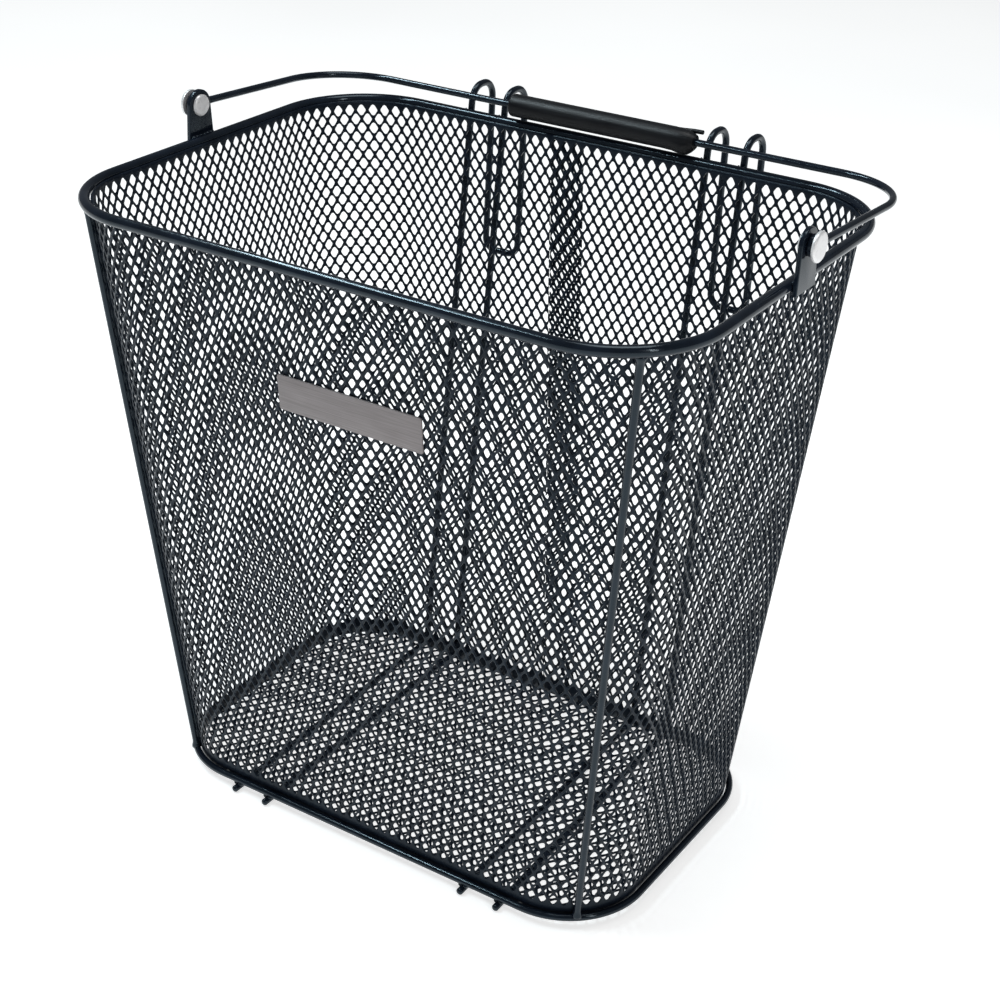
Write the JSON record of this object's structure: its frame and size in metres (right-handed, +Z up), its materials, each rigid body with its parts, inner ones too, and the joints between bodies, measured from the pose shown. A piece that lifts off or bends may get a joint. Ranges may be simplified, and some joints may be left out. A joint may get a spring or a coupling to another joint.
{
  "type": "wire mesh bicycle basket",
  "caption": "Tall tapered expanded-metal basket for a bicycle, with wire hooks that hang it on a rail, a swinging bail handle with a plastic grip, and a blank front plate.",
  "frame": {"origin": "centre of the bounding box's underside, under the runners of the hook wires", "axes": "+X along the long walls, +Y towards the hooks at the back, +Z up"},
  "size_m": [0.3828, 0.2864, 0.3728],
  "materials": {
    "coat": "glossy dark navy powder coat on steel",
    "zinc": "bright zinc-plated rivet heads",
    "grip_plastic": "black satin plastic",
    "plate": "dull grey-brown stamped plate, blank"
  },
  "bodies": {
    "basket": {"top_rim": "coat", "bottom_rim": "coat", "wall_front": "coat", "wall_back": "coat", "wall_left": "coat", "wall_right": "coat", "wall_corner_front_left": "coat", "wall_corner_front_right": "coat", "wall_corner_back_left": "coat", "wall_corner_back_right": "coat", "wall_lap": "coat", "floor_mesh": "coat", "corner_rod_left": "coat", "hook_wire_left": "coat", "lug_left": "coat", "rivet_left": "zinc", "corner_rod_right": "coat", "hook_wire_right": "coat", "lug_right": "coat", "rivet_right": "zinc", "name_plate": "plate"},
    "bail": {"bail_wire": "coat", "grip": "grip_plastic"}
  },
  "joints": [
    {"name": "bail_swing", "type": "hinge", "parent": "basket", "child": "bail", "pos_m": [0, -0.01323, 0.3643], "axis": [1, 0, 0], "range_deg": [0, 186.6]}
  ]
}
